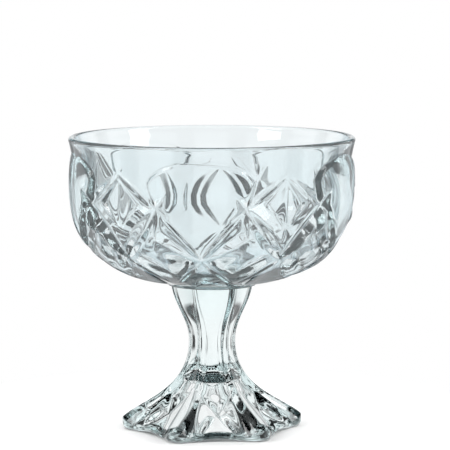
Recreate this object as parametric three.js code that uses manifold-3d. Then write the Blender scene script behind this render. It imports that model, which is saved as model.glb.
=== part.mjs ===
// Footed dessert bowl in pressed clear glass: a round bowl with a cut pattern on a hexagonal pedestal.
// Millimetres, +Z up, origin at the middle of the plane that the foot rests on.

import * as THREE from 'three';
import { mergeVertices } from 'three/addons/utils/BufferGeometryUtils.js';
import Module from 'manifold-3d';

// Bowl: overall form, heights measured from its own pad
const BOWL_HEIGHT = 58;
const RIM_RADIUS = 56;
const LIP_THICKNESS = 2.6;
const SHOULDER_RADIUS = 53.5;
const SHOULDER_HEIGHT = 37;
const COLLAR_BEND_DROP = 10;
const PAD_RADIUS = 17.2;
const PAD_THICKNESS = 1.2;
const BELLY_REACH = 27.5;
const BELLY_LIFT = 2.4;
const BELLY_RISE = 21.2;
const WALL = 3.4;
const FLOOR_THICKNESS = 5.5;
const BOWL_SEGMENTS = 50;

// Bowl: the pattern, which repeats round the axis and mirrors in the middle of each shield.
// A drop is measured down from the rim.
const SHIELDS = 5;
const BOWL_TURN = -99.9;
const SHIELD_RISE = 2.5;
const SHIELD_CREST_HEIGHT = 41;
const SHIELD_TOP_DROP = 6.2;
const SHIELD_ARCH_DROP = 14;
const SHIELD_BOTTOM = 15.4;
const SHIELD_HALF_WIDTH = 17;
const SHIELD_SHOULDER_HALF_WIDTH = 19.6;
const SHIELD_HIP_HEIGHT = 24.4;
const SHIELD_FULLNESS_HEIGHT = 20.8;
const SHIELD_BITE = 1;
const STAR_HEIGHT = 35;
const DIAMOND_TOP_DROP = 11;
const NODE_HEIGHT = 17;
const DIAMOND_MIDDLE = 36;
const DIAMOND_HALF_WIDTH = 9.2;
const DIAMOND_HALF_HEIGHT = 9.2;
const DIAMOND_TILT = 13;
const BASE_NODE_HEIGHT = 4.6;
const LEAF_TIP_HEIGHT = 24.2;
const LEAF_END_GAP = 2.6;
const LEAF_BITE = 1.05;
const LEAF_EDGE = 122;
const MITRE_BITE = 0.7;
const MITRE_EDGE = 124;
const RAY_BITE = 0.25;
const RAY_EDGE = 96;
const PRINT_RADIUS = 20;
const PRINT_DEPTH = 1.7;
const PRINT_HEIGHT = 2.7;

// Pedestal: a stem with six flat sides that spreads into a foot with six corner lobes
const PEDESTAL_HEIGHT = 57;
const SIDES = 6;
const STEM_TOP_RADIUS = 16.1;
const WAIST_RADIUS = 9.2;
const WAIST_HEIGHT = 34.5;
const FOOT_RADIUS = 35.6;
const FOOT_EDGE_HEIGHT = 5;
const FOOT_EDGE_ROUND = 2.6;
const SIDE_EDGE_HEIGHT = 1.6;
const LOBE_GABLE = 0.5;
const FOOT_SWEEP_IN = 7.2;
const FOOT_SWEEP_UP = 6.6;
const WAIST_SWEEP_DOWN = 19.6;
const WAIST_SWEEP_UP = 8.8;
const STEM_TOP_SWEEP_IN = 1.1;
const STEM_TOP_SWEEP_DOWN = 8.5;
const RIB_HALF_WIDTH_FOOT = 3.8;
const RIB_HALF_WIDTH_WAIST = 1.25;
const RIB_HALF_WIDTH_TOP = 0.5;
const RIB_CROWN = 0.38;
const RIB_RISE_FOOT = 3.2;
const RIB_RISE_STEM = 0.3;
const RIB_RISE_POWER = 1.4;
const RIB_SPLAY = 0.55;
const PANEL_DISH = 0.35;
const HOLLOW_RADIUS = 25;
const HOLLOW_BEND_RADIUS = 11.5;
const HOLLOW_BEND_HEIGHT = 8;
const HOLLOW_CAP_RADIUS = 9.6;
const HOLLOW_CAP_HEIGHT = 18.4;
const HOLLOW_CAP_RISE = 3;
const ARCH_RADIUS = 40;
const ARCH_RISE = 0.8;
const CROSS_LOW_LIFT = 0.3;
const CROSS_HIGH = 14.6;
const CROSS_LOW_HALF_WIDTH = 6.6;
const CROSS_HIGH_HALF_WIDTH = 5.2;
const CROSS_BITE = 1.8;
const CROSS_EDGE = 104;

const wasm = await Module();
wasm.setup();

const radians = THREE.MathUtils.degToRad;

// A closed geometry as a solid: vertices merged by position, triangles without area left out
function solid(geometry) {
  const bare = geometry.clone();
  bare.deleteAttribute('normal');
  bare.deleteAttribute('uv');
  const merged = mergeVertices(bare, 1e-4);
  const corners = [];
  for (let i = 0; i < merged.index.count; i += 3) {
    const [a, b, c] = [0, 1, 2].map((k) => merged.index.getX(i + k));
    if (a !== b && b !== c && c !== a) corners.push(a, b, c);
  }
  const vertProperties = new Float32Array(merged.attributes.position.array);
  const triVerts = new Uint32Array(corners);
  return new wasm.Manifold(new wasm.Mesh({ numProp: 3, vertProperties, triVerts }));
}

// A solid as a geometry again
function geometryOf(body) {
  const { vertProperties, triVerts } = body.getMesh();
  const geometry = new THREE.BufferGeometry();
  geometry.setAttribute('position', new THREE.BufferAttribute(vertProperties, 3));
  geometry.setIndex(new THREE.BufferAttribute(triVerts, 1));
  geometry.computeVertexNormals();
  return geometry;
}

// The points of an outline, with a number of steps for each of its stretches
function outlinePoints(outline, steps) {
  return outline.curves.flatMap((curve, i) => curve.getPoints(steps[i]).slice(i ? 1 : 0));
}

// A revolve of a profile of (radius, height) points about Z
function revolve(points, segments) {
  return new THREE.LatheGeometry(points, segments).rotateX(Math.PI / 2);
}

// The radius of a profile at a height, and the profile's upward tangent there
function profileAt(points, height) {
  const i = points.findIndex((p, k) => k > 0 && p.y >= height);
  const [low, high] = [points[i - 1], points[i]];
  const share = (height - low.y) / (high.y - low.y);
  const tangent = high.clone().sub(low).normalize();
  return { radius: THREE.MathUtils.lerp(low.x, high.x, share), tangent };
}

// A place on a revolved surface: the point and the outward normal
function surfacePoint(points, angle, height) {
  const { radius, tangent } = profileAt(points, height);
  const [c, s] = [Math.cos(radians(angle)), Math.sin(radians(angle))];
  return {
    point: new THREE.Vector3(radius * c, radius * s, height),
    normal: new THREE.Vector3(tangent.y * c, tangent.y * s, -tangent.x),
  };
}

// A mitre cut from one place to another: the edge of a grinding wheel whose rim passes through both
// ends and bites below the straight line between them. The rim has the included angle given.
function mitreCut(from, to, bite, edge, stepLength = 8) {
  const along = to.point.clone().sub(from.point);
  const half = along.length() / 2;
  along.normalize();
  const outward = from.normal.clone().add(to.normal);
  outward.addScaledVector(along, -outward.dot(along)).normalize();
  const wheelRadius = (half * half + bite * bite) / (2 * bite);
  const halfThickness = wheelRadius / Math.tan(radians(edge / 2));
  const segments = 2 * Math.ceil((Math.PI * wheelRadius) / stepLength);
  const rim = [
    new THREE.Vector2(0, -halfThickness),
    new THREE.Vector2(wheelRadius, 0),
    new THREE.Vector2(0, halfThickness),
  ];
  const axle = outward.clone().cross(along);
  const centre = from.point.clone().add(to.point).multiplyScalar(0.5);
  centre.addScaledVector(outward, wheelRadius - bite);
  const place = new THREE.Matrix4().makeBasis(along, axle, outward).setPosition(centre);
  return solid(new THREE.LatheGeometry(rim, segments).applyMatrix4(place));
}

// Bowl: the wall's profile, from the middle of the pad round the lip to the middle of the floor
const lipRadius = LIP_THICKNESS / 2;
const lipHeight = BOWL_HEIGHT - lipRadius;
const collarBend = BOWL_HEIGHT - COLLAR_BEND_DROP;
const shieldTop = BOWL_HEIGHT - SHIELD_TOP_DROP;
const archSpring = BOWL_HEIGHT - SHIELD_ARCH_DROP;
const diamondTop = BOWL_HEIGHT - DIAMOND_TOP_DROP;
const innerShoulder = SHOULDER_RADIUS - WALL;
const wallOutline = new THREE.Path()
  .moveTo(0, 0)
  .lineTo(PAD_RADIUS, 0)
  .lineTo(PAD_RADIUS, PAD_THICKNESS)
  .bezierCurveTo(PAD_RADIUS + BELLY_REACH, PAD_THICKNESS + BELLY_LIFT,
    SHOULDER_RADIUS, SHOULDER_HEIGHT - BELLY_RISE, SHOULDER_RADIUS, SHOULDER_HEIGHT)
  .quadraticCurveTo(SHOULDER_RADIUS, collarBend, RIM_RADIUS, lipHeight)
  .absarc(RIM_RADIUS - lipRadius, lipHeight, lipRadius, 0, Math.PI)
  .quadraticCurveTo(innerShoulder, collarBend, innerShoulder, SHOULDER_HEIGHT)
  .bezierCurveTo(innerShoulder, SHOULDER_HEIGHT - BELLY_RISE,
    PAD_RADIUS + BELLY_REACH - WALL, FLOOR_THICKNESS, 0, FLOOR_THICKNESS);
const wallPoints = outlinePoints(wallOutline, [1, 1, 8, 4, 4, 3, 7]);
const groundPoints = outlinePoints({ curves: wallOutline.curves.slice(2, 4) }, [40, 20]);

// Bowl: the raised shields, a turned band cut to five arched outlines
function shieldBand() {
  const crestRadius = SHOULDER_RADIUS + SHIELD_RISE;
  const bottom = profileAt(groundPoints, SHIELD_BOTTOM).radius;
  const top = profileAt(groundPoints, shieldTop).radius;
  const outer = new THREE.Path()
    .moveTo(bottom, SHIELD_BOTTOM)
    .quadraticCurveTo(crestRadius, SHIELD_FULLNESS_HEIGHT, crestRadius, SHIELD_CREST_HEIGHT)
    .quadraticCurveTo(crestRadius, (archSpring + shieldTop) / 2, top, shieldTop);
  return outlinePoints(outer, [6, 4]);
}

const shieldPoints = shieldBand();

function shields() {
  const bitten = (height) => profileAt(groundPoints, height).radius - SHIELD_BITE;
  const inner = shieldPoints.map((p) => new THREE.Vector2(bitten(p.y), p.y)).reverse();
  const band = solid(revolve([...shieldPoints, ...inner, shieldPoints[0]], BOWL_SEGMENTS));
  const outline = new THREE.Shape()
    .moveTo(0, SHIELD_BOTTOM)
    .lineTo(SHIELD_HALF_WIDTH, SHIELD_HIP_HEIGHT)
    .lineTo(SHIELD_HALF_WIDTH, STAR_HEIGHT)
    .lineTo(SHIELD_SHOULDER_HALF_WIDTH, archSpring)
    .quadraticCurveTo(SHIELD_HALF_WIDTH, shieldTop, 0, shieldTop)
    .quadraticCurveTo(-SHIELD_HALF_WIDTH, shieldTop, -SHIELD_SHOULDER_HALF_WIDTH, archSpring)
    .lineTo(-SHIELD_HALF_WIDTH, STAR_HEIGHT)
    .lineTo(-SHIELD_HALF_WIDTH, SHIELD_HIP_HEIGHT);
  const pieces = shieldAngles().map((angle) => band.intersect(facingPrism(outline, angle)));
  return pieces.reduce((all, piece) => all.add(piece));
}

// An outline of (across, height) points pushed straight out of the bowl at an angle
function facingPrism(outline, angle) {
  const push = { depth: RIM_RADIUS, bevelEnabled: false, curveSegments: 5 };
  const prism = new THREE.ExtrudeGeometry(outline, push);
  const up = new THREE.Vector3(0, 0, 1);
  const outward = new THREE.Vector3(Math.cos(radians(angle)), Math.sin(radians(angle)), 0);
  const place = new THREE.Matrix4().makeBasis(up.clone().cross(outward), up, outward);
  place.setPosition(outward.multiplyScalar(PAD_RADIUS));
  return solid(prism.applyMatrix4(place));
}

function shieldAngles() {
  return Array.from({ length: SHIELDS }, (_, k) => BOWL_TURN + (360 / SHIELDS) * k);
}

// Bowl: the wheel cuts of one half of a repeat, from the middle of a shield to the middle of a diamond
function cutsBeside(angle, side) {
  const pitch = 180 / SHIELDS;
  const star = angle + (side * pitch) / 2;
  const diamond = angle + side * pitch;
  const ground = (a, height) => surfacePoint(groundPoints, a, height);
  const shield = (a, height) => surfacePoint(shieldPoints, a, height);
  const leafEnd = (a) => ground(a, NODE_HEIGHT);
  return [
    mitreCut(ground(star, LEAF_TIP_HEIGHT), leafEnd(angle + side * LEAF_END_GAP), LEAF_BITE, LEAF_EDGE),
    mitreCut(ground(star, LEAF_TIP_HEIGHT), leafEnd(diamond - side * LEAF_END_GAP), LEAF_BITE, LEAF_EDGE),
    mitreCut(ground(star, STAR_HEIGHT), ground(diamond, diamondTop), MITRE_BITE, MITRE_EDGE),
    mitreCut(ground(star, STAR_HEIGHT), ground(diamond, NODE_HEIGHT), MITRE_BITE, MITRE_EDGE),
    mitreCut(shield(star, STAR_HEIGHT), shield(angle, NODE_HEIGHT), RAY_BITE, RAY_EDGE),
    mitreCut(ground(angle, NODE_HEIGHT), ground(star, BASE_NODE_HEIGHT), RAY_BITE, RAY_EDGE),
    mitreCut(ground(diamond, NODE_HEIGHT), ground(star, BASE_NODE_HEIGHT), RAY_BITE, RAY_EDGE),
  ];
}

// Bowl: a diamond ground to two flats that meet in an upright ridge
function diamondCut(angle) {
  const outline = new THREE.Shape()
    .moveTo(0, DIAMOND_MIDDLE - DIAMOND_HALF_HEIGHT)
    .lineTo(DIAMOND_HALF_WIDTH, DIAMOND_MIDDLE)
    .lineTo(0, DIAMOND_MIDDLE + DIAMOND_HALF_HEIGHT)
    .lineTo(-DIAMOND_HALF_WIDTH, DIAMOND_MIDDLE);
  const slope = Math.tan(radians(DIAMOND_TILT));
  const ridge = SHOULDER_RADIUS;
  const flats = new THREE.Shape()
    .moveTo(ridge, 0)
    .lineTo(ridge - slope * RIM_RADIUS, RIM_RADIUS)
    .lineTo(2 * RIM_RADIUS, RIM_RADIUS)
    .lineTo(2 * RIM_RADIUS, -RIM_RADIUS)
    .lineTo(ridge - slope * RIM_RADIUS, -RIM_RADIUS);
  const roof = new THREE.ExtrudeGeometry(flats, { depth: BOWL_HEIGHT, bevelEnabled: false });
  return facingPrism(outline, angle).intersect(solid(roof.rotateZ(radians(angle))));
}

// Bowl: a round hollow print over the pad, under a node
function printCut(angle) {
  const { point, normal } = surfacePoint(groundPoints, angle, PRINT_HEIGHT);
  const centre = point.addScaledVector(normal, PRINT_RADIUS - PRINT_DEPTH);
  return solid(new THREE.SphereGeometry(PRINT_RADIUS, 36, 24).translate(centre.x, centre.y, centre.z));
}

function makeBowl() {
  let body = solid(revolve(wallPoints, BOWL_SEGMENTS)).add(shields());
  for (const angle of shieldAngles()) {
    const cuts = [1, -1].flatMap((side) => cutsBeside(angle, side));
    const diamond = angle + 180 / SHIELDS;
    cuts.push(diamondCut(diamond), printCut(angle), printCut(diamond));
    for (const cut of cuts) body = body.subtract(cut);
  }
  return geometryOf(body);
}

// Pedestal: the crest line of the six ribs, from the resting plane to the seat
const crestOutline = new THREE.Path()
  .moveTo(FOOT_RADIUS - FOOT_EDGE_ROUND, 0)
  .quadraticCurveTo(FOOT_RADIUS, 0, FOOT_RADIUS, FOOT_EDGE_ROUND)
  .lineTo(FOOT_RADIUS, FOOT_EDGE_HEIGHT)
  .bezierCurveTo(FOOT_RADIUS - FOOT_SWEEP_IN, FOOT_EDGE_HEIGHT + FOOT_SWEEP_UP,
    WAIST_RADIUS, WAIST_HEIGHT - WAIST_SWEEP_DOWN, WAIST_RADIUS, WAIST_HEIGHT)
  .bezierCurveTo(WAIST_RADIUS, WAIST_HEIGHT + WAIST_SWEEP_UP,
    STEM_TOP_RADIUS - STEM_TOP_SWEEP_IN, PEDESTAL_HEIGHT - STEM_TOP_SWEEP_DOWN,
    STEM_TOP_RADIUS, PEDESTAL_HEIGHT);
const edgeSteps = 3;
const crestPoints = outlinePoints(crestOutline, [edgeSteps, 1, 15, 6]);

// Pedestal: one half of a side at a crest point, as points along the rib's radius, across it and up.
// Towards the foot the sides lie lower than the ribs, so every lobe ends in a pointed gable.
function halfSection(crest) {
  const spread = THREE.MathUtils.clamp((crest.x - WAIST_RADIUS) / (FOOT_RADIUS - WAIST_RADIUS), 0, 1);
  const climb = THREE.MathUtils.clamp((crest.y - WAIST_HEIGHT) / (PEDESTAL_HEIGHT - WAIST_HEIGHT), 0, 1);
  const below = crest.y < WAIST_HEIGHT;
  const halfWidth = below
    ? THREE.MathUtils.lerp(RIB_HALF_WIDTH_WAIST, RIB_HALF_WIDTH_FOOT, spread)
    : THREE.MathUtils.lerp(RIB_HALF_WIDTH_WAIST, RIB_HALF_WIDTH_TOP, climb);
  const footShare = below ? spread ** RIB_RISE_POWER : 0;
  const rise = THREE.MathUtils.lerp(RIB_RISE_STEM, RIB_RISE_FOOT, footShare);
  const ribEdge = new THREE.Vector2(crest.x - RIB_CROWN * halfWidth, halfWidth);
  const panelEdge = new THREE.Vector2(ribEdge.x - rise, halfWidth + RIB_SPLAY * rise);
  const halfSide = Math.PI / SIDES;
  const fromMiddle = halfSide - panelEdge.angle();
  const apothem = panelEdge.length() * Math.cos(fromMiddle) - PANEL_DISH;
  const middle = new THREE.Vector2(apothem * Math.cos(halfSide), apothem * Math.sin(halfSide));
  const between = panelEdge.clone().lerp(middle, 0.5);
  const inward = new THREE.Vector2(Math.cos(halfSide), Math.sin(halfSide));
  between.addScaledVector(inward, -PANEL_DISH / 4);
  const footDrop = FOOT_EDGE_HEIGHT - SIDE_EDGE_HEIGHT;
  const drop = footDrop * (crest.y < FOOT_EDGE_HEIGHT ? crest.y / FOOT_EDGE_HEIGHT : footShare);
  const flat = [new THREE.Vector2(crest.x, 0), ribEdge, panelEdge, between, middle];
  const drops = [0, LOBE_GABLE * drop, drop, drop, drop];
  const points = flat.map((p, i) => new THREE.Vector3(p.x, p.y, crest.y - drops[i]));
  return { points, apothem, sideHeight: crest.y - drop };
}

// Pedestal: a ring of the loft, with every half section mirrored in its rib and in its side
function sectionRing(crest) {
  const { points } = halfSection(crest);
  const mirrored = points.slice(1, -1).reverse();
  const axis = new THREE.Vector3(0, 0, 1);
  const ring = [];
  for (let k = 0; k < SIDES; k += 1) {
    const turn = (2 * Math.PI * k) / SIDES;
    const next = (2 * Math.PI * (k + 1)) / SIDES;
    for (const p of points) ring.push(p.clone().applyAxisAngle(axis, turn));
    for (const p of mirrored) ring.push(new THREE.Vector3(p.x, -p.y, p.z).applyAxisAngle(axis, next));
  }
  return ring;
}

// A loft through rings with equal counts, closed by a fan at each end
function loft(rings) {
  const count = rings[0].length;
  const vertices = rings.flat();
  const last = vertices.length - count;
  const middles = [rings.at(0), rings.at(-1)].map((ring) => new THREE.Vector3(0, 0, ring[0].z));
  const bottom = vertices.push(...middles) - 2;
  const faces = [];
  for (let i = 0; i < count; i += 1) {
    const j = (i + 1) % count;
    for (let k = 0; k + 1 < rings.length; k += 1) {
      const [a, b] = [k * count + i, k * count + j];
      faces.push(a, b, b + count, a, b + count, a + count);
    }
    faces.push(bottom, j, i, bottom + 1, last + i, last + j);
  }
  const geometry = new THREE.BufferGeometry().setFromPoints(vertices);
  return geometry.setIndex(faces);
}

// Pedestal: the middle line of a side, as a profile of (radius, height) points
const panelPoints = crestPoints.slice(edgeSteps).map((crest) => {
  const { apothem, sideHeight } = halfSection(crest);
  return new THREE.Vector2(apothem, sideHeight);
});

// Pedestal: a place on a side, off its middle line
function panelPoint(angle, across, height) {
  const place = surfacePoint(panelPoints, angle, height);
  const sideways = new THREE.Vector3(-Math.sin(radians(angle)), Math.cos(radians(angle)), 0);
  place.point.addScaledVector(sideways, across);
  return place;
}

// Pedestal: the hollow that the plunger leaves under the foot, a bell with a domed cap
function footHollow() {
  const capTop = HOLLOW_CAP_HEIGHT + HOLLOW_CAP_RISE;
  const outline = new THREE.Path()
    .moveTo(0, -FOOT_EDGE_ROUND)
    .lineTo(HOLLOW_RADIUS, -FOOT_EDGE_ROUND)
    .lineTo(HOLLOW_RADIUS, 0)
    .quadraticCurveTo(HOLLOW_BEND_RADIUS, HOLLOW_BEND_HEIGHT, HOLLOW_CAP_RADIUS, HOLLOW_CAP_HEIGHT)
    .quadraticCurveTo(HOLLOW_CAP_RADIUS / 2, capTop, 0, capTop);
  return solid(revolve(outlinePoints(outline, [1, 1, 6, 3]), 30));
}

function makePedestal() {
  let body = solid(loft(crestPoints.map(sectionRing))).subtract(footHollow());
  const arch = new THREE.CylinderGeometry(ARCH_RADIUS, ARCH_RADIUS, 2 * FOOT_RADIUS, 60);
  arch.rotateZ(Math.PI / 2).translate(0, 0, ARCH_RISE - ARCH_RADIUS);
  for (let k = 0; k < SIDES; k += 1) {
    const angle = (360 / SIDES) * (k + 0.5);
    if (k < SIDES / 2) body = body.subtract(solid(arch.clone().rotateZ(radians(angle))));
    for (const side of [1, -1]) {
      const low = panelPoint(angle, -side * CROSS_LOW_HALF_WIDTH, SIDE_EDGE_HEIGHT + CROSS_LOW_LIFT);
      const high = panelPoint(angle, side * CROSS_HIGH_HALF_WIDTH, CROSS_HIGH);
      body = body.subtract(mitreCut(low, high, CROSS_BITE, CROSS_EDGE, 3));
    }
  }
  return geometryOf(body);
}

// The two pieces of glass, fused where the bowl's pad sits on the stem
function glass(color) {
  const look = { color, roughness: 0.05, metalness: 0, transparent: true, opacity: 0.35 };
  return new THREE.MeshStandardMaterial(look);
}

const bowl = new THREE.Mesh(makeBowl(), glass(0xeaf1ef));
bowl.name = 'bowl';
bowl.position.z = PEDESTAL_HEIGHT;

const pedestal = new THREE.Mesh(makePedestal(), glass(0xe6eeec));
pedestal.name = 'pedestal';

const dessertBowl = new THREE.Group();
dessertBowl.name = 'dessert_bowl';
dessertBowl.add(pedestal, bowl);

export default dessertBowl;
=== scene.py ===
import math
import bpy
import numpy as np
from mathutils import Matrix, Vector


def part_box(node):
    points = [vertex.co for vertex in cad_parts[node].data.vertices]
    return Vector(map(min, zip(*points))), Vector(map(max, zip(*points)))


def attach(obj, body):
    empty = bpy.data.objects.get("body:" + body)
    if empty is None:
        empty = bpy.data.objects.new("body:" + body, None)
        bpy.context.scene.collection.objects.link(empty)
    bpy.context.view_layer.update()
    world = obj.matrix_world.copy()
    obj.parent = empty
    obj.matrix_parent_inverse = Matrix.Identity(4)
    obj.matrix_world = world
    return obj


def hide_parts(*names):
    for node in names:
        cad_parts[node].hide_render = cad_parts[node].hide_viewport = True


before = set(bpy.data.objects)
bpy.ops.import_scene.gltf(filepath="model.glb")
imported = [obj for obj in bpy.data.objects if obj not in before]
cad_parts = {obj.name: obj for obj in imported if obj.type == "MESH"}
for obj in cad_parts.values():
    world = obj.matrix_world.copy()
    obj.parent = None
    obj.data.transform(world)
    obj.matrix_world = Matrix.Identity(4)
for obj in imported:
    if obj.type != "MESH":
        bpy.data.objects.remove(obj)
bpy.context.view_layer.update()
bowlLow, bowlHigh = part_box("bowl")
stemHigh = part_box("pedestal")[1]
mm = 0.001


# small helpers for curves and points, all in millimetres and degrees

def bezier(points, steps):
    t = np.linspace(0, 1, steps + 1)[:, None]
    level = [np.array(p, float)[None, :] * np.ones_like(t) for p in points]
    while len(level) > 1:
        level = [a * (1 - t) + b * t for a, b in zip(level, level[1:])]
    return level[0]


def arc(centre, radius, start, end, steps):
    a = np.radians(np.linspace(start, end, steps + 1))
    return np.stack([centre[0] + radius * np.cos(a), centre[1] + radius * np.sin(a)], 1)


# stretches of a line set end to end, with each shared point kept once
def joined(stretches):
    return np.concatenate([stretches[0]] + [s[1:] for s in stretches[1:]])


def mixed(a, b, share):
    return a + (b - a) * share


def smoothStep(x):
    x = np.clip(x, 0, 1)
    return x * x * (3 - 2 * x)


# the deepest of several cuts, softened where two of them meet
def softMax(depths, soft):
    top = np.max(depths, axis=0)
    return top + soft * np.log(np.sum(np.exp((np.array(depths) - top) / soft), axis=0))


def onRing(radius, angle, height):
    a = np.radians(angle)
    return np.stack(np.broadcast_arrays(radius * np.cos(a), radius * np.sin(a), height), -1)


def angleOf(points):
    return np.degrees(np.arctan2(points[:, 1], points[:, 0]))


def radiusOf(points):
    return np.hypot(points[:, 0], points[:, 1])


# points or directions turned about the axis, by one angle or each by its own
def turnedBy(points, turn):
    x, y, z = points.T
    c, s = np.cos(np.radians(turn)), np.sin(np.radians(turn))
    return np.column_stack([x * c - y * s, x * s + y * c, z])


# a turned profile that cuts and ridges are laid out on: radius and outward normal at a height

class Turned:
    def __init__(self, points):
        self.r, self.z = points[:, 0], points[:, 1]
        dr, dz = np.gradient(self.r), np.gradient(self.z)
        length = np.hypot(dr, dz)
        self.nr, self.nz = dz / length, -dr / length
        steps = np.hypot(np.diff(self.r), np.diff(self.z))
        self.walk = np.concatenate([[0], np.cumsum(steps)])

    # distance up the profile from its foot
    def along(self, height):
        return np.interp(height, self.z, self.walk)

    def radius(self, height):
        return np.interp(height, self.z, self.r)

    def normal(self, angle, height):
        return onRing(np.interp(height, self.z, self.nr), angle, np.interp(height, self.z, self.nz))

    def place(self, angle, height):
        return onRing(self.radius(height), angle, height), self.normal(angle, height)


# what a grinding wheel does where the wall turns away from it
wheelLimits = {
    "facing": 0.2,                # a wall that faces the wheel less than this isn't cut
    "steepest": 0.5,              # and below this a cut grows no deeper
    "missed": -9.0,               # depth where the wheel doesn't reach
}


# depth of a mitre cut below each point: the edge of a grinding wheel between two places
def mitreDepth(points, normals, start, end, bite, edge, softness):
    (p0, n0), (p1, n1) = start, end
    along = p1 - p0
    half = np.linalg.norm(along) / 2
    along = along / (2 * half)
    outward = n0 + n1
    outward = outward - along * (outward @ along)
    outward = outward / np.linalg.norm(outward)
    wheel = (half * half + bite * bite) / (2 * bite)
    centre = (p0 + p1) / 2 + outward * (wheel - bite)
    axle = np.cross(outward, along)
    q = points - centre
    off = q @ axle
    radial = q - off[:, None] * axle
    reach = np.linalg.norm(radial, axis=1)
    facing = -np.sum(normals * radial, axis=1) / reach
    off = np.sqrt(off * off + softness * softness) - softness
    depth = wheel - reach - off / math.tan(math.radians(edge / 2))
    depth = depth / np.maximum(facing, wheelLimits["steepest"])
    return np.where(facing > wheelLimits["facing"], depth, wheelLimits["missed"])


# depth of an oval hollow print that stands upright on a turned wall
def printDepth(ground, across, height, middle, halfLength, halfWidth, depth):
    up = (ground.along(height) - ground.along(middle)) / halfLength
    return depth * (1 - up * up - (across / halfWidth) ** 2)


# distance from an outline given as corners, positive inside
def insideDistance(x, y, corners):
    best = np.full(x.shape, np.inf)
    inside = np.zeros(x.shape, bool)
    for (x0, y0), (x1, y1) in zip(corners, np.roll(corners, -1, axis=0)):
        ex, ey = x1 - x0, y1 - y0
        t = np.clip(((x - x0) * ex + (y - y0) * ey) / (ex * ex + ey * ey), 0, 1)
        best = np.minimum(best, np.hypot(x - x0 - t * ex, y - y0 - t * ey))
        crosses = (y0 > y) != (y1 > y)
        if ey:
            inside ^= crosses & (x < x0 + ex * (y - y0) / ey)
    return np.where(inside, best, -best)


# mesh helpers
mergeGap = 0.01 * mm
startSize = 0.1                   # of a primitive, before its vertices are set


def deselect():
    if bpy.context.object and bpy.context.object.mode != "OBJECT":
        bpy.ops.object.mode_set(mode="OBJECT")
    bpy.ops.object.select_all(action="DESELECT")


def vertexPoints(obj):
    co = np.empty(len(obj.data.vertices) * 3)
    obj.data.vertices.foreach_get("co", co)
    return co.reshape(-1, 3) / mm


def vertexNormals(obj):
    n = np.empty(len(obj.data.vertices) * 3, np.float32)
    obj.data.vertices.foreach_get("normal", n)
    return n.reshape(-1, 3).astype(float)


def setVertices(obj, points):
    obj.data.vertices.foreach_set("co", (points * mm).ravel())
    obj.data.update()


# doubles merged, then all faces turned outwards
def closeUp(obj):
    bpy.ops.object.mode_set(mode="EDIT")
    bpy.ops.mesh.select_all(action="SELECT")
    bpy.ops.mesh.remove_doubles(threshold=mergeGap)
    bpy.ops.mesh.normals_make_consistent(inside=False)
    bpy.ops.object.mode_set(mode="OBJECT")


# a profile drawn as a line of edges and spun about the axis
def spun(name, profile, columns):
    deselect()
    bpy.ops.mesh.primitive_grid_add(x_subdivisions=len(profile) - 1, y_subdivisions=1, size=startSize)
    obj = bpy.context.object
    obj.name = name
    bpy.ops.object.mode_set(mode="EDIT")
    bpy.ops.mesh.select_all(action="DESELECT")
    bpy.ops.object.mode_set(mode="OBJECT")
    for v in obj.data.vertices:
        v.select = v.co.y > 0
    bpy.ops.object.mode_set(mode="EDIT")
    bpy.ops.mesh.delete(type="VERT")
    bpy.ops.object.mode_set(mode="OBJECT")
    line = sorted(obj.data.vertices, key=lambda v: v.co.x)
    for v, (r, z) in zip(line, profile):
        v.co = (r * mm, 0, z * mm)
    bpy.ops.object.modifier_add(type="SCREW")
    turning = obj.modifiers[-1]
    turning.axis = "Z"
    turning.angle = 2 * math.pi
    turning.steps = turning.render_steps = columns
    turning.use_merge_vertices = True
    turning.merge_threshold = mergeGap
    bpy.ops.object.modifier_apply(modifier=turning.name)
    closeUp(obj)
    return obj


# bowl: a turned wall, then shields raised and the cut pattern pressed into its outside
bowlSizes = {
    "columns": 600,
    "rows": {                     # steps along each stretch of the profile
        "pad": 2,
        "padEdge": 2,
        "belly": 82,
        "collar": 36,
        "lip": 10,
        "collarInside": 8,
        "inside": 22,
    },
    "rimRadius": min(bowlHigh.x, bowlHigh.y) / mm,
    "height": (bowlHigh.z - bowlLow.z) / mm,
    "seat": bowlLow.z / mm,
    "fuse": 0.15,                 # how far the pad melts into the stem
    "lip": 2.6,
    "shoulder": (53.5, 37),       # radius and height
    "collarBend": 48,
    "pad": (17.2, 1.2),           # radius and thickness
    "belly": (27.5, 2.4, 21.2),   # reach, lift and rise of the belly's sweep
    "wall": 3.4,
    "floor": 5.5,
    "near": 0.02,                 # vertices this close to the outside's profile take the pattern
}
patternSizes = {
    "shields": 5,
    "turn": -99.9,                # where the middle of a shield stands, in degrees
    "crest": 41,                  # heights on a shield, from the bowl's seat
    "top": 51.8,
    "spring": 44,
    "bottom": 15.4,
    "hip": 24.4,
    "fullness": 20.8,
    "halfWidth": 17,
    "shoulderHalfWidth": 19.6,
    "flank": 1.1,
    "underRim": 0.05,             # how far a shield's crest stays inside the rim
    "shieldRows": (24, 16),       # steps below and above the crest
    "archSteps": 10,
    "star": 35,                   # heights where cuts meet
    "diamondTop": 47,
    "node": 15.8,
    "baseNode": 4.6,
    "diamond": (36, 9.2, 9.2),    # middle height, half width, half height
    "diamondTilt": 13,
    "diamondFlank": 1.2,          # slope of its edge
    "leafEnds": ((19.7, 23.2), (3.4, 14.4)),      # angle from the shield's middle, and height
    "lowLeafEnds": ((28.5, 17.0), (16, 9.8)),
    "leaf": (0.35, 150),          # bite and included angle of each wheel
    "lowLeaf": (0.3, 140),
    "mitre": (0.3, 110),
    "ray": (0.25, 96),
    "rayLift": (0.45, 0.7),       # how far a ray's ends stand off, on the shield and over the pad
    "print": (6.2, 12, 7.6, 1.5),                 # middle's height, half length, half width, depth
    "fire": 0.2,                  # softness that fire polishing leaves on an edge
}


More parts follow.
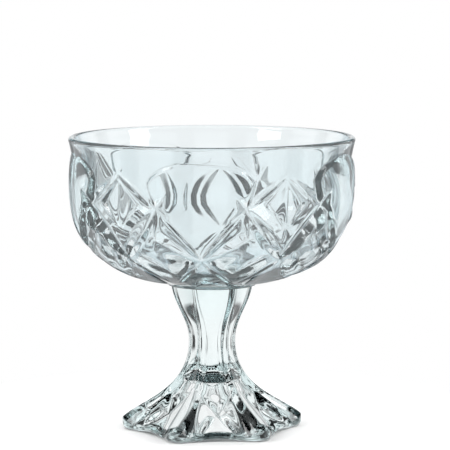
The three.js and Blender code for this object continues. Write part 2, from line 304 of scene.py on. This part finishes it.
# the whole profile, from the middle of the pad round the lip to the middle of the floor,
# and the part of it that takes the pattern
def bowlProfile(s):
    rows = s["rows"]
    rim, bend, fuse = s["rimRadius"], s["collarBend"], s["fuse"]
    lip = s["lip"] / 2
    lipHeight = s["height"] - lip
    shoulder, shoulderHeight = s["shoulder"]
    padRadius, padTop = s["pad"]
    reach, lift, rise = s["belly"]
    inner = shoulder - s["wall"]
    ground = [
        bezier([(padRadius, padTop), (padRadius + reach, padTop + lift),
                (shoulder, shoulderHeight - rise), (shoulder, shoulderHeight)], rows["belly"]),
        bezier([(shoulder, shoulderHeight), (shoulder, bend), (rim, lipHeight)], rows["collar"]),
    ]
    stretches = [
        bezier([(0, -fuse), (padRadius, -fuse)], rows["pad"]),
        bezier([(padRadius, -fuse), (padRadius, padTop)], rows["padEdge"]),
        *ground,
        arc((rim - lip, lipHeight), lip, 0, 180, rows["lip"]),
        bezier([(rim - 2 * lip, lipHeight), (inner, bend), (inner, shoulderHeight)],
               rows["collarInside"]),
        bezier([(inner, shoulderHeight), (inner, shoulderHeight - rise),
                (padRadius + reach - s["wall"], s["floor"]), (0, s["floor"])], rows["inside"]),
    ]
    return joined(stretches), Turned(joined(ground))


# a shield's own profile, from its point up to the top of its arch
def shieldProfile(s, ground, crestRadius):
    lowRows, highRows = s["shieldRows"]
    bottom = (ground.radius(s["bottom"]), s["bottom"])
    crest = (crestRadius, s["crest"])
    top = (ground.radius(s["top"]), s["top"])
    return Turned(joined([
        bezier([bottom, (crestRadius, s["fullness"]), crest], lowRows),
        bezier([crest, (crestRadius, (s["spring"] + s["top"]) / 2), top], highRows),
    ]))


def shieldOutline(s):
    right = np.concatenate([
        [(0, s["bottom"]), (s["halfWidth"], s["hip"]), (s["halfWidth"], s["star"])],
        bezier([(s["shoulderHalfWidth"], s["spring"]), (s["halfWidth"], s["top"]), (0, s["top"])],
               s["archSteps"]),
    ])
    left = right[1:-1][::-1] * (-1, 1)
    return np.concatenate([right, left])


# how far a shield stands out from the axis over the wall, with a flank along its outline
def shieldRise(s, ground, shield, across, height):
    proud = np.maximum(shield.radius(height) - ground.radius(height), 0)
    proud = np.where((height > s["bottom"]) & (height < s["top"]), proud, 0)
    inside = insideDistance(across, height, shieldOutline(s))
    return proud * smoothStep(0.5 + inside / s["flank"])


# depth of a diamond ground to two flats that meet in an upright ridge
def diamondDepth(s, ground, radius, angle, height):
    middle, halfWidth, halfHeight = s["diamond"]
    off = np.radians(angle)
    out, side = radius * np.cos(off), np.abs(radius * np.sin(off))
    flats = out - (ground.radius(middle) - side * math.tan(math.radians(s["diamondTilt"])))
    edge = (1 - side / halfWidth - np.abs(height - middle) / halfHeight) * halfWidth
    return np.minimum(flats, edge * s["diamondFlank"])


# how far each point of the outside moves along the wall's normal
def pressPattern(points, ground, s, crestRadius):
    pitch = 180 / s["shields"]
    star, middle = pitch / 2, pitch           # angles of a star and of a diamond's middle
    angle = angleOf(points) - s["turn"]
    angle = np.abs((angle + pitch) % (2 * pitch) - pitch)      # one half repeat, mirrored
    radius, height = radiusOf(points), points[:, 2]
    n = ground.normal(angle, height)
    shield = shieldProfile(s, ground, crestRadius)
    across = radius * np.sin(np.radians(angle))
    rise = shieldRise(s, ground, shield, across, height) * np.hypot(n[:, 0], n[:, 1])
    p = onRing(radius, angle, height) + n * rise[:, None]
    at = ground.place
    fire = s["fire"]

    def wheel(start, end, kind):
        return mitreDepth(p, n, start, end, *s[kind], fire)

    # a fine cut: its wheel is held off at both ends, so it stays shallow over the wall's swell
    def ray(start, end, lift):
        raised = [(spot + normal * lift, normal) for spot, normal in (start, end)]
        return wheel(*raised, "ray")

    shieldLift, padLift = s["rayLift"]
    depths = [
        np.zeros(len(p)),
        wheel(*[at(*end) for end in s["leafEnds"]], "leaf"),
        wheel(*[at(*end) for end in s["lowLeafEnds"]], "lowLeaf"),
        wheel(at(star, s["star"]), at(middle, s["diamondTop"]), "mitre"),
        wheel(at(star, s["star"]), at(middle, s["node"]), "mitre"),
        ray(shield.place(star, s["star"]), shield.place(0, s["node"]), shieldLift),
        ray(at(0, s["node"]), at(star, s["baseNode"]), padLift),
        ray(at(middle, s["node"]), at(star, s["baseNode"]), padLift),
    ]
    for a in (0, middle):
        away = radius * np.sin(np.radians(angle - a))
        depths.append(printDepth(ground, away, height, *s["print"]))
    depths.append(diamondDepth(s, ground, radius, angle - middle, height))
    return rise - softMax(depths, fire)


def makeBowl():
    s = bowlSizes
    profile, ground = bowlProfile(s)
    bowl = spun("cutBowl", profile, s["columns"])
    p = vertexPoints(bowl)
    height = p[:, 2]
    outside = np.abs(radiusOf(p) - ground.radius(height)) < s["near"]
    outside &= height > s["pad"][1] + s["near"]
    crestRadius = s["rimRadius"] - patternSizes["underRim"]
    move = np.zeros(len(p))
    move[outside] = pressPattern(p[outside], ground, patternSizes, crestRadius)
    p = p + ground.normal(angleOf(p), height) * move[:, None]
    p[:, 2] += s["seat"]
    setVertices(bowl, p)
    bpy.ops.object.shade_smooth()
    print("bowl", len(bowl.data.polygons), "faces")
    return bowl


# pedestal: six-sided stem that spreads into a foot with six corner lobes
pedestalSizes = {
    "height": stemHigh.z / mm,
    "sides": 6,
    "rows": {                     # steps along each stretch of the crest, the seat and the hollow
        "footRound": 6,
        "footEdge": 6,
        "foot": 108,
        "stem": 44,
        "seat": 4,
        "hollow": 20,
        "hollowCap": 16,
    },
    "columns": {"rib": 6, "flank": 6, "side": 22},    # over half a rib, its flank and half a side
    "top": 16.1,
    "waist": (9.2, 34.5),         # radius and height
    "foot": stemHigh.x / mm,
    "footEdge": 5,
    "footRound": 2.6,
    "sideEdge": 1.6,              # thin edge of the foot between two lobes
    "gable": 0.5,                 # share of the sides' drop that a rib falls to its own edges
    "footSweep": (7.2, 6.6),      # handles of the crest's curve: in and up from the foot,
    "waistSweep": (19.6, 8.8),    # down and up from the waist,
    "topSweep": (1.1, 8.5),       # in and down from the top
    "ribHalfWidth": (3.8, 1.25, 0.5),             # at the foot, waist and top
    "ribCrown": 0.38,             # share of a rib's half width
    "ribRise": (3.2, 0.3, 1.4),   # at the foot, on the stem, and how fast it grows
    "ribSplay": 0.55,
    "dish": 0.35,
    "hollow": ((25, 0), (11.5, 8), (9.6, 18.4)),  # bell that the plunger leaves
    "hollowCap": ((9.6, 18.4), (4.8, 21.4), (0, 21.4)),
    "arch": (40, 0.8),            # radius and rise of the edge between two lobes
    "near": 0.01,                 # the arch begins this close to the hollow's edge
    "cross": (1.9, 14.6, 6.6, 5.2),               # low and high ends: heights, then half widths
    "crossWheel": (1.8, 104),     # bite and included angle
    "crossZone": (0.3, 20),       # heights that the cross may cut, and the least slope there
    "crossSlope": 0.02,
    "fire": 0.45,                 # softness of the cross's edges
    "polish": 12,                 # rounds of fire polish on each ring
}


# the line along the middle of a rib, from under the foot's edge to the seat
def crestLine(s):
    rows = s["rows"]
    foot, edge, rounding = s["foot"], s["footEdge"], s["footRound"]
    waist, waistHeight = s["waist"]
    top, height = s["top"], s["height"]
    footIn, footUp = s["footSweep"]
    waistDown, waistUp = s["waistSweep"]
    topIn, topDown = s["topSweep"]
    return joined([
        bezier([(foot - rounding, 0), (foot, 0), (foot, rounding)], rows["footRound"]),
        bezier([(foot, rounding), (foot, edge)], rows["footEdge"]),
        bezier([(foot, edge), (foot - footIn, edge + footUp),
                (waist, waistHeight - waistDown), (waist, waistHeight)], rows["foot"]),
        bezier([(waist, waistHeight), (waist, waistHeight + waistUp),
                (top - topIn, height - topDown), (top, height)], rows["stem"]),
    ])


# one half of a side at a crest point: points from the rib's middle to the side's middle
def halfSide(s, crest, height):
    waist, waistHeight = s["waist"]
    spread = np.clip((crest - waist) / (s["foot"] - waist), 0, 1)
    climb = np.clip((height - waistHeight) / (s["height"] - waistHeight), 0, 1)
    below = height < waistHeight
    footWidth, waistWidth, topWidth = s["ribHalfWidth"]
    halfWidth = mixed(waistWidth, footWidth, spread) if below else mixed(waistWidth, topWidth, climb)
    footRise, stemRise, power = s["ribRise"]
    footShare = spread ** power if below else 0
    rise = mixed(stemRise, footRise, footShare)
    onEdge = height < s["footEdge"]
    drop = (s["footEdge"] - s["sideEdge"]) * (height / s["footEdge"] if onEdge else footShare)
    turn = math.pi / s["sides"]
    edge = np.array([crest - s["ribCrown"] * halfWidth, halfWidth])
    root = np.array([edge[0] - rise, halfWidth + s["ribSplay"] * rise])
    fromMiddle = turn - math.atan2(root[1], root[0])
    apothem = np.hypot(*root) * math.cos(fromMiddle) - s["dish"]
    facing = np.array([math.cos(turn), math.sin(turn)])
    middle = apothem * facing
    columns = s["columns"]
    t = np.linspace(0, 1, columns["rib"] + 1)[:, None]
    lowered = s["gable"] * drop
    crown = crest - s["ribCrown"] * halfWidth * t ** 2
    rib = np.concatenate([crown, halfWidth * t, height - lowered * t], 1)
    t = np.linspace(0, 1, columns["flank"] + 1)[:, None]
    flank = np.concatenate([mixed(edge, root, t), height - mixed(lowered, drop, t)], 1)
    t = np.linspace(0, 1, columns["side"] + 1)[:, None]
    side = mixed(root, middle, t) - facing * s["dish"] * t * (1 - t)
    side = np.concatenate([side, np.full_like(t, height - drop)], 1)
    return joined([rib, flank, side]), (apothem, height - drop)


# a whole ring: the half side mirrored in the rib and in the side's middle
def sideRing(s, crest, height):
    half, middle = halfSide(s, crest, height)
    back = half[1:-1][::-1] * (1, -1, 1)
    step = 360 / s["sides"]
    ring = []
    for k in range(s["sides"]):
        ring += [turnedBy(half, step * k), turnedBy(back, step * (k + 1))]
    return np.concatenate(ring), middle


# fire polish: each ring's corners are rounded a little
def polished(ring, rounds):
    for _ in range(rounds):
        ring = ring * 0.5 + (np.roll(ring, 1, axis=0) + np.roll(ring, -1, axis=0)) * 0.25
    return ring


# angle of each point from the middle of the side that it lies on
def fromSide(s, p):
    step = 360 / s["sides"]
    return angleOf(p) % step - step / 2


# two mitres that cross on every side of the foot, cut with that side turned to the front
def crossCut(s, p, normals, sideLine):
    turn = fromSide(s, p) - angleOf(p)
    q, m = turnedBy(p, turn), turnedBy(normals, turn)
    low, high, lowHalf, highHalf = s["cross"]
    start, startNormal = sideLine.place(0, low)
    end, endNormal = sideLine.place(0, high)
    depths = [np.zeros(len(p))]
    for side in (1, -1):
        lowEnd = (start + (0, -side * lowHalf, 0), startNormal)
        highEnd = (end + (0, side * highHalf, 0), endNormal)
        depths.append(mitreDepth(q, m, lowEnd, highEnd, *s["crossWheel"], s["fire"]))
    depth = softMax(depths, s["fire"])
    print("cross cut", round(depth.max(), 2), "mm deep")
    lowest, highest = s["crossZone"]
    onSide = (p[:, 2] > lowest) & (p[:, 2] < highest)
    onSide &= (normals[:, 2] > s["crossSlope"]) & (radiusOf(p) > s["waist"][0])
    return p - normals * np.where(onSide, depth, 0)[:, None]


# how far the thin edge between two lobes arches up, fading out over the foot's edge
def archLift(s, p):
    archRadius, archRise = s["arch"]
    across = radiusOf(p) * np.sin(np.radians(fromSide(s, p)))
    lift = np.sqrt(archRadius ** 2 - across ** 2) - archRadius + archRise
    lift = np.maximum(lift, 0) * (1 - smoothStep(p[:, 2] / s["footEdge"]))
    hollowEdge = s["hollow"][0][0]
    return np.where(radiusOf(p) > hollowEdge - s["near"], lift, 0)


def makePedestal():
    s = pedestalSizes
    rows = s["rows"]
    rings, sideLine = [], []
    for crest, height in crestLine(s):
        ring, middle = sideRing(s, crest, height)
        rings.append(polished(ring, s["polish"]))
        sideLine.append(middle)
    seat = [rings[-1] * (f, f, 1) for f in np.linspace(1, 0, rows["seat"] + 1)[1:]]
    hollow = joined([bezier(s["hollow"], rows["hollow"]), bezier(s["hollowCap"], rows["hollowCap"])])
    angles = angleOf(rings[0])
    under = [onRing(r, angles, z) for r, z in hollow]
    rings = under[::-1] + rings + seat
    deselect()
    across, up = len(angles), len(rings) - 1
    bpy.ops.mesh.primitive_grid_add(x_subdivisions=across, y_subdivisions=up, size=startSize)
    pedestal = bpy.context.object
    pedestal.name = "ribbedPedestal"
    setVertices(pedestal, np.concatenate([np.concatenate([ring, ring[:1]]) for ring in rings]))
    closeUp(pedestal)
    p, normals = vertexPoints(pedestal), vertexNormals(pedestal)
    p = crossCut(s, p, normals, Turned(np.array(sideLine)[rows["footRound"]:]))
    p[:, 2] += archLift(s, p)
    setVertices(pedestal, p)
    bpy.ops.object.shade_smooth()
    print("pedestal", len(pedestal.data.polygons), "faces")
    return pedestal


# shader maths as expressions

class Wire:
    def __init__(self, tree, socket=None):
        self.tree, self.socket = tree, socket

    def add(self, kind, settings=None, inlets=None, outlet=0):
        node = self.tree.nodes.new(kind)
        for name, value in (settings or {}).items():
            setattr(node, name, value)
        for name, value in (inlets or {}).items():
            if isinstance(value, Wire):
                self.tree.links.new(value.socket, node.inputs[name])
            else:
                node.inputs[name].default_value = value
        return Wire(self.tree, node.outputs[outlet]) if node.outputs else node

    def math(self, operation, a, b=0.0):
        return self.add("ShaderNodeMath", {"operation": operation}, {0: a, 1: b})

    # eases from one level to another while the value passes between two limits
    def eased(self, value, limits, levels=(0.0, 1.0)):
        return self.add("ShaderNodeMapRange", {"interpolation_type": "SMOOTHSTEP"}, {
            "Value": value, "From Min": limits[0], "From Max": limits[1],
            "To Min": levels[0], "To Max": levels[1]})

    def __add__(self, other):
        return self.math("ADD", self, other)

    __radd__ = __add__

    def __sub__(self, other):
        return self.math("SUBTRACT", self, other)

    def __rsub__(self, other):
        return self.math("SUBTRACT", other, self)

    def __mul__(self, other):
        return self.math("MULTIPLY", self, other)

    __rmul__ = __mul__


# the emptied node tree of a material or world, ready to wire up
def emptied(owner):
    owner.use_nodes = True
    owner.node_tree.nodes.clear()
    return Wire(owner.node_tree)


# glass: what both pieces share, then the look of each
glassFinish = {
    "ior": 1.51,
    "waves": {"Scale": 60.0, "Detail": 2.0},      # slow waves in the surface
    "waveHeight": 1 * mm,
    "smears": {"Scale": 140.0, "Detail": 4.0},    # fine smears that dull its polish
    "dullest": 0.012,
}
bowlLook = {
    "tint": (0.55, 0.92, 0.94, 1),
    "depth": 16.0,                # strength of the tint in thick glass
    "clear": 0.94,                # the rest is a faint haze
    "waviness": 0.02,
    "mirror": 0.2,                # strength of reflections on its surface
    "face": (0.95, 0.985, 1, 1),
    "edge": (0.5, 0.64, 0.72, 1),                 # painted shade: how a grazing view darkens the base colour, standing in for dark refracted edge lines, and from where to where
    "grazing": (0.5, 0.9),
}
pedestalLook = {
    "tint": (0.55, 0.92, 0.94, 1),
    "depth": 10.0,
    "clear": 1.0,
    "waviness": 0.01,
    "mirror": 0.1,
    "face": (0.99, 1, 1, 1),
    # painted shade: a near-black base colour where the view grazes the surface, standing in for dark
    # lines along ribs and silhouettes
    "edge": (0.03, 0.055, 0.06, 1),
    "grazing": (0.6, 0.92),
}


def clearGlass(name, look):
    material = bpy.data.materials.new(name)
    wire = emptied(material)
    finish = glassFinish
    coords = wire.add("ShaderNodeTexCoord", outlet="Object")
    wave = wire.add("ShaderNodeTexNoise", {}, {"Vector": coords, **finish["waves"]}, "Fac")
    smear = wire.add("ShaderNodeTexNoise", {}, {"Vector": coords, **finish["smears"]}, "Fac")
    bump = wire.add("ShaderNodeBump", {}, {
        "Strength": look["waviness"], "Distance": finish["waveHeight"], "Height": wave})
    # painted shade: the base colour turns from the face tint to the dark edge colour where the view
    # grazes the surface
    facing = wire.add("ShaderNodeLayerWeight", {}, {"Normal": bump}, "Facing")
    tintWithPaintedShade = wire.add("ShaderNodeMix", {"data_type": "RGBA"}, {      # 6 and 7 are its two colours
        "Factor": wire.eased(facing, look["grazing"]), 6: look["face"], 7: look["edge"]}, 2)
    glass = wire.add("ShaderNodeBsdfPrincipled", {}, {
        "Base Color": tintWithPaintedShade,
        "Roughness": smear * finish["dullest"],
        "IOR": finish["ior"],
        "Specular IOR Level": look["mirror"],
        "Transmission Weight": look["clear"],
        "Normal": bump,
    })
    body = wire.add("ShaderNodeVolumeAbsorption", {}, {"Color": look["tint"], "Density": look["depth"]})
    wire.add("ShaderNodeOutputMaterial", {}, {"Surface": glass, "Volume": body})
    return material


bowl = makeBowl()
pedestal = makePedestal()
for piece, node, slot in ((bowl, "bowl", "bowl_glass"), (pedestal, "pedestal", "pedestal_glass")):
    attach(piece, "root")
    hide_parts(node)
bowl.data.materials.append(clearGlass("bowlGlass", bowlLook))
pedestal.data.materials.append(clearGlass("pedestalGlass", pedestalLook))
print("glass finished")


# stage, in metres: pale floor, white surround with dark flags, soft lamps
stageSizes = {
    "floor": 6.0,
    "floorDrop": 0.0002,
    "pale": (0.93, 0.93, 0.93, 1),
    "white": (1, 1, 1, 1),
    "clear": (0.03, 0.13),        # distances between which the floor turns from pale to white
    "flags": 8,                   # dark flags round the table, and where the first bright gap stands
    "turn": 84.7,
    "flagEdge": (-0.62, -0.3),
    "far": (0.38, 0.6),           # distances and levels of the flags on the floor
    "farLevels": (0.0, 0.4),
    "near": (0.065, 0.12),        # and of the bright patch round the foot
    "nearLevels": (0.95, 0.0),
    "faint": (0.06, 0.2),         # rises over the horizon and levels of the flags in the surround
    "faintLevels": (0.5, 0.0),
    "high": (0.28, 0.38),         # and of the surround's upper end
    "highLevels": (1.0, 0.0),
    "ambient": 0.8,               # level of the surround for what isn't glass
}


# brightness in a direction round the table: white gaps between flags of a given level
def flags(wire, across, along, level):
    s = stageSizes
    azimuth = wire.math("ARCTAN2", along, across)
    swing = wire.math("COSINE", azimuth * s["flags"] - math.radians(s["turn"]) * s["flags"])
    return wire.eased(swing, s["flagEdge"], (level, 1.0))


# 1 for what the camera sees straight, and 1 for what glass shows
def rays(wire):
    camera, glossy, through = [wire.add("ShaderNodeLightPath", outlet=f"Is {kind} Ray")
                               for kind in ("Camera", "Glossy", "Transmission")]
    return camera, wire.math("MAXIMUM", glossy, through)


def split(wire, vector):
    return [wire.add("ShaderNodeSeparateXYZ", {}, {0: vector}, axis) for axis in "XYZ"]


def makeFloor():
    s = stageSizes
    deselect()
    bpy.ops.mesh.primitive_plane_add(size=s["floor"], location=(0, 0, -s["floorDrop"]))
    floor = bpy.context.object
    floor.name = "paleFloor"
    material = bpy.data.materials.new("paleTable")
    wire = emptied(material)
    coords = wire.add("ShaderNodeTexCoord", outlet="Object")
    across, along, _ = split(wire, coords)
    away = wire.add("ShaderNodeVectorMath", {"operation": "LENGTH"}, {0: coords}, "Value")
    camera, glass = rays(wire)
    around = flags(wire, across, along, wire.eased(away, s["far"], s["farLevels"]))
    around = wire.math("MAXIMUM", around, wire.eased(away, s["near"], s["nearLevels"]))
    seen = wire.math("MAXIMUM", around, camera)
    pale = wire.add("ShaderNodeBsdfDiffuse", {}, {"Color": s["pale"]})
    white = wire.add("ShaderNodeEmission", {}, {"Color": s["white"], "Strength": seen})
    share = wire.math("MAXIMUM", wire.eased(away, s["clear"]), glass)
    both = wire.add("ShaderNodeMixShader", {}, {0: share, 1: pale, 2: white})
    wire.add("ShaderNodeOutputMaterial", {}, {"Surface": both})
    floor.data.materials.append(material)


def makeWorld():
    s = stageSizes
    world = bpy.data.worlds.new("studio")
    bpy.context.scene.world = world
    wire = emptied(world)
    camera, glass = rays(wire)
    direction = wire.add("ShaderNodeTexCoord", outlet="Generated")
    across, along, up = split(wire, direction)
    around = flags(wire, across, along, wire.eased(up, s["faint"], s["faintLevels"]))
    around = around * wire.eased(up, s["high"], s["highLevels"])
    shown = around * glass + (1 - glass) * s["ambient"]
    seen = wire.math("MAXIMUM", shown, camera)
    back = wire.add("ShaderNodeBackground", {}, {"Color": s["white"], "Strength": seen})
    wire.add("ShaderNodeOutputWorld", {}, {"Surface": back})


# a lamp or camera at a spot, turned towards another
def pointed(name, data, spot, aim):
    obj = bpy.data.objects.new(name, data)
    bpy.context.scene.collection.objects.link(obj)
    obj.location = spot
    obj.rotation_euler = (aim - obj.location).to_track_quat("-Z", "Y").to_euler()
    return obj


lampAim = Vector((0, 0, 0.06))
lampSizes = {
    "topBox": {"spot": (0, 0.1, 1.3), "size": (1.0, 1.0), "power": 20, "mirrored": False},
    "keyBox": {"spot": (-0.9, -0.5, 0.9), "size": (0.5, 0.7), "power": 6, "mirrored": True},
    "fillBox": {"spot": (0.9, -0.4, 0.7), "size": (0.4, 0.6), "power": 4, "mirrored": True},
}


def makeLamp(name, s):
    data = bpy.data.lights.new(name, "AREA")
    data.shape = "RECTANGLE"
    data.size, data.size_y = s["size"]
    data.energy = s["power"]
    lamp = pointed(name, data, s["spot"], lampAim)
    lamp.visible_transmission = False       # never seen through the glass
    lamp.visible_glossy = s["mirrored"]


# camera: long lens from a little above the rim
cameraSizes = {
    "turn": -95.3,
    "distance": 0.880,
    "height": 0.1867,
    "aim": 0.080,                 # height of the point that it looks at, and how far that lies aside
    "aside": 0.0051,
    "lens": 181.4,
    "sensor": 36,
    "clip": (0.01, 50),
}


def makeCamera():
    s = cameraSizes
    a = math.radians(s["turn"])
    out = Vector((math.cos(a), math.sin(a), 0))
    right = Vector((-math.sin(a), math.cos(a), 0))
    data = bpy.data.cameras.new("photoCamera")
    data.lens = s["lens"]
    data.sensor_width = s["sensor"]
    data.clip_start, data.clip_end = s["clip"]
    spot = out * s["distance"] + Vector((0, 0, s["height"]))
    aim = right * s["aside"] + Vector((0, 0, s["aim"]))
    bpy.context.scene.camera = pointed("photoCamera", data, spot, aim)


makeFloor()
makeWorld()
for name, sizes in lampSizes.items():
    makeLamp(name, sizes)
makeCamera()
bpy.context.scene.view_settings.view_transform = "Standard"
print("stage ready")
